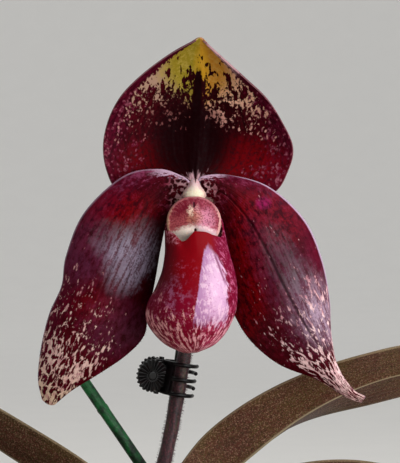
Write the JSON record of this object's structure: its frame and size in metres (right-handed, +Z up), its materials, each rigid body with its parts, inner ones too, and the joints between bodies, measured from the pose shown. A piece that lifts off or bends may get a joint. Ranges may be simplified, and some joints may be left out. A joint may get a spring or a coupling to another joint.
{
  "type": "potted slipper orchid",
  "caption": "Potted slipper orchid in bloom: dark red hooded flower with a pouched lip, strap leaves, staked and clipped scape, bark mix and a plain clay pot.",
  "frame": {"origin": "centre of the pot's underside", "axes": "+Z up, -Y the way the flower faces, +X to the right as one faces the flower"},
  "size_m": [0.2589, 0.108, 0.2461],
  "materials": {
    "fired_clay": "matte",
    "bark": "matte",
    "crown": "matte",
    "leaf": "satin",
    "stem": "matte",
    "bract": "matte",
    "ovary": "matte",
    "tepal": "satin",
    "lip": "gloss",
    "shield": "satin",
    "dyed_cane": "satin",
    "stake": "matte",
    "clip_plastic": "gloss",
    "spring_wire": "satin"
  },
  "bodies": {
    "potted_plant": {"pot": "fired_clay", "bark_mix": "bark", "crown_and_roots": "crown", "leaf_right_high": "leaf", "leaf_left_high": "leaf", "leaf_right_middle": "leaf", "leaf_left_middle": "leaf", "leaf_right_low": "leaf", "leaf_left_low": "leaf", "scape": "stem", "bract": "bract", "ovary": "ovary", "lower_sepal": "tepal", "dorsal_sepal": "tepal", "petal_left": "tepal", "petal_right": "tepal", "pouch": "lip", "column_and_shield": "shield", "green_cane": "dyed_cane", "flower_stake": "stake", "clip_back_jaw": "clip_plastic", "clip_spring": "spring_wire"},
    "front_jaw": {"clip_front_jaw": "clip_plastic"}
  },
  "joints": [
    {"name": "clip_hinge", "type": "hinge", "parent": "potted_plant", "child": "front_jaw", "pos_m": [-0.00011, 0.0041, 0.14424], "axis": [-0.165, 0, -0.9863], "range_deg": [0, 26], "stiffness_Nm_per_rad": 0.004, "springref_deg": -5.73}
  ]
}
